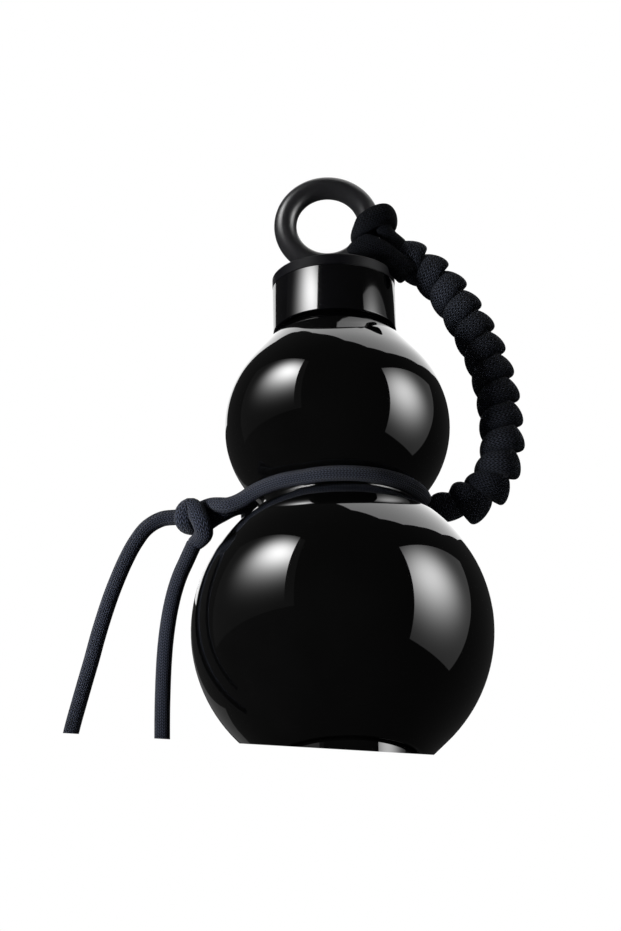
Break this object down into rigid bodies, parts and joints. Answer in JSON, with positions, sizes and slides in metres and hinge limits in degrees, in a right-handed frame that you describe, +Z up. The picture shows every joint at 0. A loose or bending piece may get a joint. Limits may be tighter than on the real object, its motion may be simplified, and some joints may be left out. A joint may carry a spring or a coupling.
{
  "type": "gourd water bottle",
  "caption": "Gourd-shaped insulated water bottle with a screw cap, a carrying ring and a wound cord handle tied round its waist.",
  "frame": {"origin": "on the floor, at the middle of the foot pad's underside, under the bottle's axis", "axes": "+Z up along the bottle's axis, +X towards the wound handle, -X towards the knot and its tails, -Y towards the picture's camera"},
  "size_m": [0.1758, 0.112, 0.2433],
  "materials": {
    "gloss_black": "high-gloss black paint on steel",
    "satin_black": "satin black coating on steel rod",
    "matte_black": "matte black coating",
    "plain_steel": "satin stainless steel",
    "getter_metal": "dull grey metal",
    "cap_plastic": "moulded black plastic",
    "foam": "white foam",
    "silicone": "translucent silicone",
    "foot_rubber": "matte black rubber",
    "black_cord": "braided black cord"
  },
  "bodies": {
    "bottle": {"outer_shell": "gloss_black", "inner_liner": "plain_steel", "outer_bottom": "plain_steel", "getter": "getter_metal", "base_cover": "gloss_black", "foot_pad": "foot_rubber"},
    "strap": {"waist_loop": "black_cord", "handle_core": "black_cord", "handle_winding": "black_cord", "tail_knot": "black_cord", "long_tail": "black_cord", "short_tail": "black_cord"},
    "cap": {"cap_sleeve": "gloss_black", "cap_plate": "matte_black", "cap_core": "cap_plastic", "stopper_foam": "foam", "stopper_cover": "plain_steel", "mouth_gasket": "silicone", "carry_ring": "satin_black", "ring_seat": "matte_black", "ring_screw": "plain_steel", "ring_hitch": "black_cord"}
  },
  "joints": [
    {"name": "cap_turn", "type": "hinge", "parent": "bottle", "child": "strap", "pos_m": [0, 0, 0.185], "axis": [0, 0, 1], "range_deg": [0, 720]},
    {"name": "cap_lift", "type": "slide", "parent": "strap", "child": "cap", "axis": [0, 0, 1], "range_m": [0, 0.016], "deforming": ["handle_winding", "handle_core"]}
  ],
  "couplings": [
    {"joint": "cap_lift", "follows": "cap_turn", "m_per_rad": 0.0012732}
  ]
}
